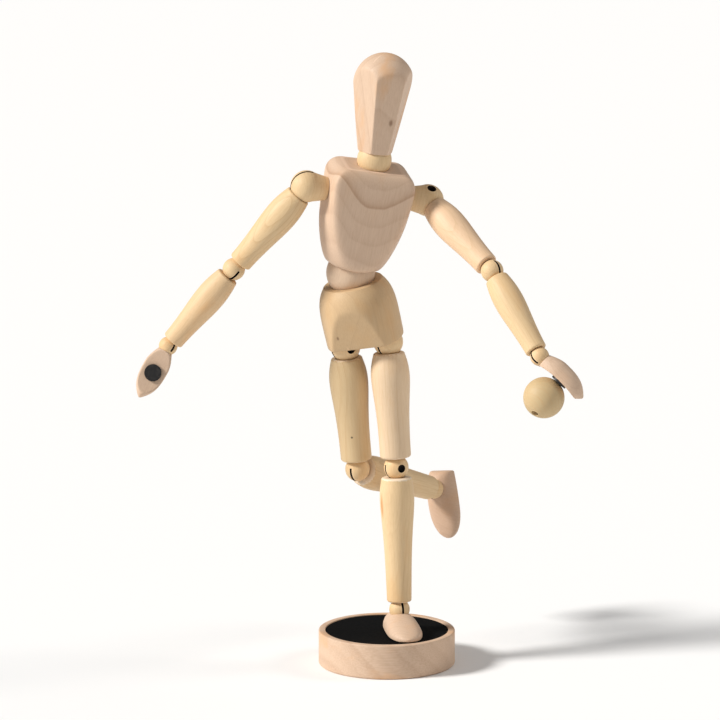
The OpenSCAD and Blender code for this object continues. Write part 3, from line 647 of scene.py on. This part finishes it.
def wood(name, frame_matrix, look, seed):
    """Pale turned wood whose rings, fibres and flecks run along a frame's Z axis."""
    n = Nodes(name)
    light, dark = look["light"], look["dark"]
    inverse = frame_matrix.inverted()
    place = n.add("ShaderNodeMapping", {"Vector": n.add("ShaderNodeTexCoord").outputs["Object"]})
    place.inputs["Rotation"].default_value = inverse.to_euler("XYZ")
    place.inputs["Location"].default_value = inverse.translation
    local = n.scaled(place.outputs[0], IN_MM)
    grain = n.moved(local, (seed * 37, seed * 91, seed * 53))

    # Yearly rings about the pith, some of them darker, with finer lines in between
    wander = n.noise(n.scaled(grain, (1, 1, 0.25)), 0.05, 3)
    parts = n.add("ShaderNodeSeparateXYZ", {0: local})
    x = n.math("SUBTRACT", parts.outputs[0], look["pith"][0])
    y = n.math("SUBTRACT", parts.outputs[1], look["pith"][1])
    far = n.math("SQRT", n.math("ADD", n.math("MULTIPLY", x, x), n.math("MULTIPLY", y, y)))
    far = n.math("MULTIPLY_ADD", parts.outputs[2], look["slope"], far)
    far = n.math("MULTIPLY_ADD", wander, look["wander"], far)
    steps = n.math("DIVIDE", n.math("ADD", far, 200 + look["phase"]), look["ring"])
    turn = n.math("FRACT", steps)
    pick = n.math("ADD", n.math("FLOOR", steps), seed)
    chance = n.add("ShaderNodeTexWhiteNoise", {"W": pick}, noise_dimensions="1D").outputs["Value"]
    flank = n.math("POWER", turn, look["sharp"])
    rings = n.math("MULTIPLY", flank, n.band(turn, 1.0, look["stop"]))
    varied = n.math("MULTIPLY_ADD", n.math("POWER", chance, 2.0), 1 - look["even"], look["even"])
    fine_turn = n.math("FRACT", n.math("MULTIPLY", steps, 4.0))
    fine = n.math("MULTIPLY", n.math("POWER", fine_turn, 3.0), n.band(fine_turn, 1.0, 0.85))
    rings = n.math("MULTIPLY_ADD", rings, varied, n.math("MULTIPLY", fine, look["fine"]))

    # Fibres and flecks along the grain, and warmer patches
    fibres = n.noise(n.scaled(grain, FIBRE_SCALE), 1.0, 5, 0.6)
    flecks = n.band(n.noise(n.scaled(grain, FLECK_SCALE), 1.0, 1), 0.66, 0.74)
    cloud = n.noise(n.scaled(grain, CLOUD_SCALE), 1.0, 3)
    amount = n.math("MULTIPLY", rings, look["contrast"])
    amount = n.math("MULTIPLY_ADD", n.band(fibres, 0.3, 0.75), look["fibres"], amount)
    amount = n.math("MULTIPLY_ADD", flecks, 0.12, amount, clamp=True)
    colour = n.mix(amount, light, dark)
    warm = (light[0], light[1] * 0.80, light[2] * 0.58, 1)
    colour = n.mix(n.math("MULTIPLY", n.band(cloud, 0.5, 0.7), look["warm"]), colour, warm)

    # Knots, single marks, ragged paler bands at the ends and rubbed edges
    for *place_mm, size in look["knots"]:
        knot = n.spot(local, Vector(place_mm), size, KNOT_FLATTEN, core=0.25, strength=0.75)
        colour = n.mix(knot, colour, KNOT)
    for place_mm, size, stretch, tone in look["marks"]:
        centre = inverse @ (Vector(place_mm) * MM) / MM
        mark = n.spot(local, centre, size, 1 / stretch, core=0.3, strength=0.85)
        colour = n.mix(mark, colour, tone)
    if look["ends"]:
        low, high = look["ends"]
        ragged = n.math("MULTIPLY_ADD", n.noise(grain, 0.8, 3), 1.6, -0.8)
        height = n.math("ADD", parts.outputs[2], ragged)
        both = n.math("MAXIMUM", n.band(height, high, high + 0.5), n.band(height, low, low - 0.5))
        colour = n.mix(n.math("MULTIPLY", both, 0.7), colour, END_BAND_PALE)
    edge = n.band(n.add("ShaderNodeNewGeometry").outputs["Pointiness"], 0.52, 0.6, 0.0, 0.5)
    worn = (min(1, light[0] * 1.25), min(1, light[1] * 1.25), min(1, light[2] * 1.3), 1)
    colour = n.mix(edge, colour, worn)

    n.put(n.shader.inputs["Base Color"], colour)
    n.put(n.shader.inputs["Roughness"], n.band(fibres, 0.2, 0.8, *WOOD_ROUGHNESS))
    n.shader.inputs["Specular IOR Level"].default_value = WOOD_SPECULAR
    height = n.math("MULTIPLY_ADD", rings, 0.4, n.math("MULTIPLY", fibres, 0.6))
    bump = n.add("ShaderNodeBump", {"Height": height, "Strength": 0.2, "Distance": WOOD_BUMP})
    n.put(n.shader.inputs["Normal"], bump.outputs[0])
    return n.material


def metal(name, colour, metallic, roughness, grime):
    """Wire, nail, magnet or painted plate with a faint uneven surface."""
    n = Nodes(name)
    place = n.scaled(n.add("ShaderNodeTexCoord").outputs["Object"], IN_MM)
    patch = n.noise(place, PATCH_SCALE, 4)
    fine = n.noise(place, PATCH_SCALE * 9, 2)
    n.put(n.shader.inputs["Base Color"], n.mix(n.band(patch, 0.45, 0.75), colour, grime))
    n.shader.inputs["Metallic"].default_value = metallic
    n.put(n.shader.inputs["Roughness"], n.band(patch, 0.3, 0.8, roughness, roughness + 0.15))
    bump = n.add("ShaderNodeBump", {"Height": fine, "Strength": 0.1, "Distance": METAL_BUMP})
    n.put(n.shader.inputs["Normal"], bump.outputs[0])
    return n.material


def finish_with(obj, material):
    """Makes a material the only one of an object."""
    obj.data.materials.clear()
    obj.data.materials.append(material)


LIME = (0.74, 0.54, 0.31, 1)
LIME_DARK = (0.56, 0.36, 0.18, 1)
PALE = (0.66, 0.48, 0.345, 1)
PALE_DARK = (0.37, 0.21, 0.12, 1)
# Paler tone laid in a ragged band at the ends of the limbs
END_BAND_PALE = (0.86, 0.74, 0.60, 1)
KNOT = (0.20, 0.10, 0.05, 1)
STREAK = (0.55, 0.24, 0.08, 1)
# Near black: painted shade, with some dirt, on the walls of the balls' saw slots and drilled holes; also one dark
# mark on the right thigh
SHADE_AND_MARK_BLACK = (0.012, 0.007, 0.004, 1)

# Rings lie about the pith, ring mm apart, and lean by slope. A knot has a place in the piece's
# frame and a size; a mark has a place in the shared frame, a size, a stretch along the grain and a
# colour; ends are the heights past which a piece turns paler in a ragged band. All in mm.
YELLOW_LOOK = {
    "light": LIME, "dark": LIME_DARK, "pith": (14, 11), "ring": 1.8, "slope": 0.04, "wander": 6,
    "phase": 0, "even": 0.2, "sharp": 5.0, "stop": 0.93, "fine": 0.2, "contrast": 0.6,
    "fibres": 0.3, "warm": 0.35, "ends": None, "knots": [], "marks": [],
}
PINK_LOOK = dict(YELLOW_LOOK, light=PALE, dark=PALE_DARK, contrast=0.7, fibres=0.2, warm=0.3)
SMOOTH_LOOK = dict(PINK_LOOK, contrast=0.25, fine=0.05, wander=3)
BALL_LOOK = dict(YELLOW_LOOK, pith=(5, 4), ring=1.4)
TOY_LOOK = dict(YELLOW_LOOK, light=(0.56, 0.42, 0.23, 1), pith=(3, 5), ring=1.7)
LOOKS = {
    "head": dict(
        PINK_LOOK, pith=(-5, 26), ring=5.5, slope=0.1, warm=0.7, even=0.4, contrast=0.45,
        fine=0.1, knots=[(3.2, -9.9, 21, 1.4)],
    ),
    "chest": dict(
        PINK_LOOK, pith=(3, 4), ring=26, slope=-0.6, wander=5, phase=10.9, even=0.9,
        contrast=0.75, sharp=16.0, stop=0.97, fine=0.3, warm=0.15,
    ),
    "pelvis": dict(
        PINK_LOOK, light=(0.60, 0.42, 0.235, 1), pith=(22, 30), ring=2.6, contrast=0.25,
        knots=[(-9.05, -15.4, 10, 0.9)],
    ),
    "base_block": dict(
        PINK_LOOK, pith=(60, -40), ring=11, slope=1.1, sharp=1.5, stop=0.7, fine=0.0,
        contrast=0.42, even=0.3, fibres=0.3, warm=0.6,
    ),
    "waist_ball": dict(PINK_LOOK, light=(0.70, 0.52, 0.37, 1), pith=(9, 7), contrast=0.25),
    "right_foot": dict(SMOOTH_LOOK, light=(0.58, 0.40, 0.28, 1)),
    "left_upper_arm": dict(YELLOW_LOOK, light=(0.78, 0.55, 0.36, 1), contrast=0.4),
    "right_forearm": dict(YELLOW_LOOK, light=(0.75, 0.53, 0.31, 1), warm=0.6),
    "left_shin": dict(
        YELLOW_LOOK, ends=(4.6, 66.3), marks=[((-2.2, -3.4, 82), 1.7, 5, STREAK)],
    ),
    "right_shin": dict(YELLOW_LOOK, ends=(4.6, 66.8)),
    "left_thigh": dict(
        YELLOW_LOOK, light=(0.73, 0.55, 0.37, 1), ends=(5.6, 58.1),
        marks=[((-3.7, -2.6, 118), 0.7, 1, STREAK)],
    ),
    "right_thigh": dict(
        YELLOW_LOOK, light=(0.66, 0.49, 0.28, 1), ends=(5.6, 58.1),
        marks=[((-17.6, 4.6, 115.4), 0.8, 1, SHADE_AND_MARK_BLACK)],
    ),
}
# The base's grain runs from side to side
LYING = Matrix.Rotation(math.radians(90), 4, "Y")
for index, (piece, name) in enumerate(PIECES):
    usual = SMOOTH_LOOK if name.endswith(("hand", "foot")) else YELLOW_LOOK
    look = LOOKS.get(name, usual)
    grain = FRAMES[name] @ LYING if name == "base_block" else FRAMES[name]
    finish_with(piece, wood("wood_of_" + name, grain, look, index * 0.37 + 0.2))


# Ball: the piece whose grain it follows, the joint at its middle, and its radius in mm
BALLS = {"waist_ball": ("chest", "waist_bend", WAIST_R), "neck_ball": ("head", "neck_bend", NECK_R)}
for side in ("left", "right"):
    BALLS[side + "_ankle_ball"] = (side + "_foot", side + "_ankle_bend", ANKLE_R)
    BALLS[side + "_knee_ball"] = (side + "_thigh", side + "_knee_bend", KNEE_R)
    BALLS[side + "_hip_ball"] = ("pelvis", side + "_hip_swing", HIP_R)
    BALLS[side + "_shoulder_ball"] = ("chest", side + "_arm_raise", SHOULDER_R)
    BALLS[side + "_elbow_ball"] = (side + "_upper_arm", side + "_elbow_bend", ELBOW_R)
    BALLS[side + "_wrist_ball"] = (side + "_hand", side + "_wrist_bend", WRIST_R)

# Painted shade, with some dirt: near-black wood for the walls of the balls' saw slots and drilled holes
slot_shade_and_dirt = Nodes("painted_slot_shade_and_dirt")
slot_shade_noise = slot_shade_and_dirt.noise(slot_shade_and_dirt.add("ShaderNodeTexCoord").outputs["Object"], 900, 3)
slot_shade_colour = slot_shade_and_dirt.mix(slot_shade_noise, SHADE_AND_MARK_BLACK, (0.03, 0.016, 0.008, 1))
slot_shade_and_dirt.put(slot_shade_and_dirt.shader.inputs["Base Color"], slot_shade_colour)
slot_shade_and_dirt.shader.inputs["Roughness"].default_value = 0.8


def darken_inside(obj, middle, radius):
    """Gives the walls of a ball's saw slot and drilled hole near-black wood: painted shade, with some dirt."""
    obj.data.materials.append(slot_shade_and_dirt.material)
    for polygon in obj.data.polygons:
        away = polygon.center - middle
        facing = abs(away.normalized().dot(polygon.normal))
        inside = away.length < 0.97 * radius
        wall = away.length < 1.01 * radius and facing < 0.7
        polygon.material_index = 1 if inside or wall else 0


# Each ball gets its wood, and painted shade in its slot and hole
for index, (name, (owner, joint, radius)) in enumerate(BALLS.items()):
    look = LOOKS.get(name, BALL_LOOK)
    finish_with(NODES[name], wood("wood_of_" + name, FRAMES[owner], look, index * 0.61 + 0.1))
    darken_inside(NODES[name], joint_place(joint), radius * MM)
toy_frame = FRAMES["left_hand"].copy()
toy_frame.translation = node_middle("toy_ball")
finish_with(NODES["toy_ball"], wood("wood_of_toy_ball", toy_frame, TOY_LOOK, 8.3))

plate_black = metal("black_plate", (0.002, 0.002, 0.002, 1), 0.0, 0.85, (0.004, 0.004, 0.004, 1))
plate_shader = plate_black.node_tree.nodes["Principled BSDF"]
plate_shader.inputs["Specular IOR Level"].default_value = 0.08
ferrite = metal("ferrite", (0.014, 0.013, 0.013, 1), 0.2, 0.5, (0.03, 0.027, 0.025, 1))
wire = metal("spring_wire", (0.5, 0.5, 0.5, 1), 1.0, 0.32, (0.32, 0.31, 0.3, 1))
nail = metal("nail_steel", (0.2, 0.18, 0.16, 1), 1.0, 0.45, (0.1, 0.07, 0.05, 1))
for name, obj in NODES.items():
    if name == "base_plate":
        finish_with(obj, plate_black)
    elif name.endswith("magnet"):
        finish_with(obj, ferrite)
    elif name.endswith(("spring", "hook")):
        finish_with(obj, wire)
    elif name.endswith(("pins", "nails", "nail", "core")):
        finish_with(obj, nail)
    for polygon in obj.data.polygons:
        polygon.use_smooth = True


# ---- Studio ----
def sun_light(name, towards, strength, spread_angle, colour):
    """Broad lamp that shines from a direction."""
    data = bpy.data.lights.new(name, "SUN")
    data.energy = strength
    data.angle = math.radians(spread_angle)
    data.color = colour
    light = bpy.data.objects.new(name, data)
    light.rotation_euler = Vector(towards).to_track_quat("Z", "Y").to_euler()
    bpy.context.scene.collection.objects.link(light)


sun_light("key", (-0.84, -0.24, 0.62), strength=3.9, spread_angle=14, colour=(1, 0.98, 0.95))
sun_light("rim", (0.85, 0.1, 0.6), strength=0.7, spread_angle=20, colour=(1, 0.95, 0.88))

world = bpy.data.worlds.new("studio")
bpy.context.scene.world = world
world.use_nodes = True
background = world.node_tree.nodes["Background"]
background.inputs["Color"].default_value = (0.95, 0.97, 1, 1)
background.inputs["Strength"].default_value = 0.27

FLOOR = 8
corners = [(-FLOOR, -FLOOR, 0), (FLOOR, -FLOOR, 0), (FLOOR, FLOOR, 0), (-FLOOR, FLOOR, 0)]
floor_mesh = bpy.data.meshes.new("floor")
floor_mesh.from_pydata(corners, [], [(0, 1, 2, 3)])
floor = bpy.data.objects.new("floor", floor_mesh)
bpy.context.scene.collection.objects.link(floor)
paper = Nodes("paper")
paper.shader.inputs["Base Color"].default_value = (0.93, 0.93, 0.93, 1)
paper.shader.inputs["Roughness"].default_value = 0.9
floor_mesh.materials.append(paper.material)

# Camera at eye level a little above the figure, far enough for a flat perspective
CAMERA_DISTANCE = 3.0
CAMERA_RISE = math.radians(11.8)
SENSOR_MM, LENS_MM = 36, 300
target = Vector((-0.0135, 0, 0.1562))
camera_data = bpy.data.cameras.new("camera")
camera_data.sensor_width = SENSOR_MM
camera_data.lens = LENS_MM
camera = bpy.data.objects.new("camera", camera_data)
back = Vector((0, -math.cos(CAMERA_RISE), math.sin(CAMERA_RISE)))
camera.location = target + back * CAMERA_DISTANCE
camera.rotation_euler = (-back).to_track_quat("-Z", "Y").to_euler()
bpy.context.scene.collection.objects.link(camera)
bpy.context.scene.camera = camera
bpy.context.scene.view_settings.view_transform = "Standard"
